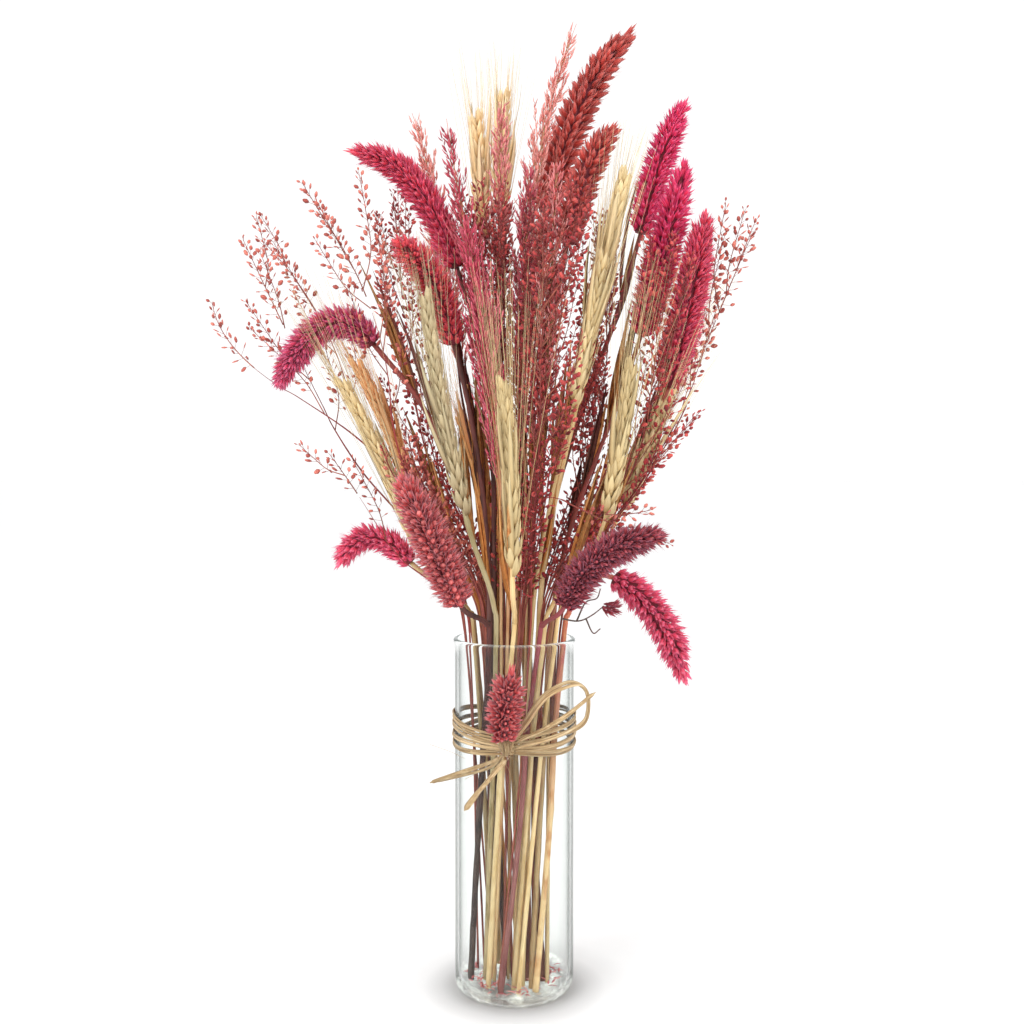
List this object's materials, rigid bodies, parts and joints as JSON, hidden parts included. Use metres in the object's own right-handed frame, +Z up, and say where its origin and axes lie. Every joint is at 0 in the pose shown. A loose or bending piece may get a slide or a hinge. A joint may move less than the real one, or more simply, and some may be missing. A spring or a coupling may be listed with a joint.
{
  "type": "vase of dried wheat and flowers",
  "caption": "Clear glass cylinder vase with a raffia bow, filled with dried bearded wheat ears, dyed celosia plumes, dyed grass heads and peppergrass sprays.",
  "frame": {"origin": "centre of the vase's flat underside", "axes": "+Z up along the vase's axis; the front of the bouquet, with the bow, looks towards -Y; +X to the viewer's right"},
  "size_m": [0.3235, 0.1931, 0.5419],
  "materials": {
    "vase_glass": "gloss",
    "raffia": "matte",
    "celosia_crimson": "matte",
    "celosia_rose": "matte",
    "celosia_magenta": "matte",
    "celosia_dusty": "matte",
    "celosia_stem": "matte",
    "wheat_straw": "matte",
    "wheat_green": "matte",
    "wheat_brown": "matte",
    "grass_coral": "matte",
    "grass_pink": "matte",
    "peppergrass_brown": "matte",
    "peppergrass_red": "matte"
  },
  "bodies": {
    "root": {"vase": "vase_glass", "raffia_tie": "raffia", "celosia_head_1": "celosia_rose", "celosia_stem_1": "celosia_stem", "celosia_head_2": "celosia_rose", "celosia_stem_2": "celosia_stem", "celosia_head_3": "celosia_magenta", "celosia_stem_3": "celosia_stem", "celosia_head_4": "celosia_crimson", "celosia_stem_4": "celosia_stem", "celosia_head_5": "celosia_crimson", "celosia_stem_5": "celosia_stem", "celosia_head_6": "celosia_magenta", "celosia_stem_6": "celosia_stem", "celosia_head_7": "celosia_crimson", "celosia_stem_7": "celosia_stem", "celosia_head_8": "celosia_magenta", "celosia_stem_8": "celosia_stem", "celosia_head_9": "celosia_dusty", "celosia_stem_9": "celosia_stem", "celosia_head_10": "celosia_magenta", "celosia_stem_10": "celosia_stem", "celosia_head_11": "celosia_crimson", "celosia_stem_11": "celosia_stem", "celosia_head_12": "celosia_magenta", "celosia_stem_12": "celosia_stem", "celosia_head_13": "celosia_dusty", "celosia_stem_13": "celosia_stem", "wheat_1": "wheat_straw", "wheat_2": "wheat_brown", "wheat_3": "wheat_green", "wheat_4": "wheat_straw", "wheat_5": "wheat_straw", "wheat_6": "wheat_straw", "wheat_7": "wheat_straw", "wheat_8": "wheat_straw", "wheat_9": "wheat_straw", "wheat_10": "wheat_straw", "wheat_11": "wheat_straw", "wheat_12": "wheat_brown", "grass_1": "grass_coral", "grass_2": "grass_coral", "grass_3": "grass_pink", "grass_4": "grass_coral", "grass_5": "grass_pink", "grass_6": "grass_coral", "grass_7": "grass_coral", "grass_8": "grass_pink", "peppergrass_1": "peppergrass_brown", "peppergrass_2": "peppergrass_brown", "peppergrass_3": "peppergrass_red", "peppergrass_4": "peppergrass_brown", "peppergrass_5": "peppergrass_red", "peppergrass_6": "peppergrass_brown", "peppergrass_7": "peppergrass_red", "peppergrass_8": "peppergrass_red", "peppergrass_9": "peppergrass_red", "peppergrass_10": "peppergrass_red", "peppergrass_11": "peppergrass_red", "peppergrass_12": "peppergrass_brown"}
  },
  "joints": []
}
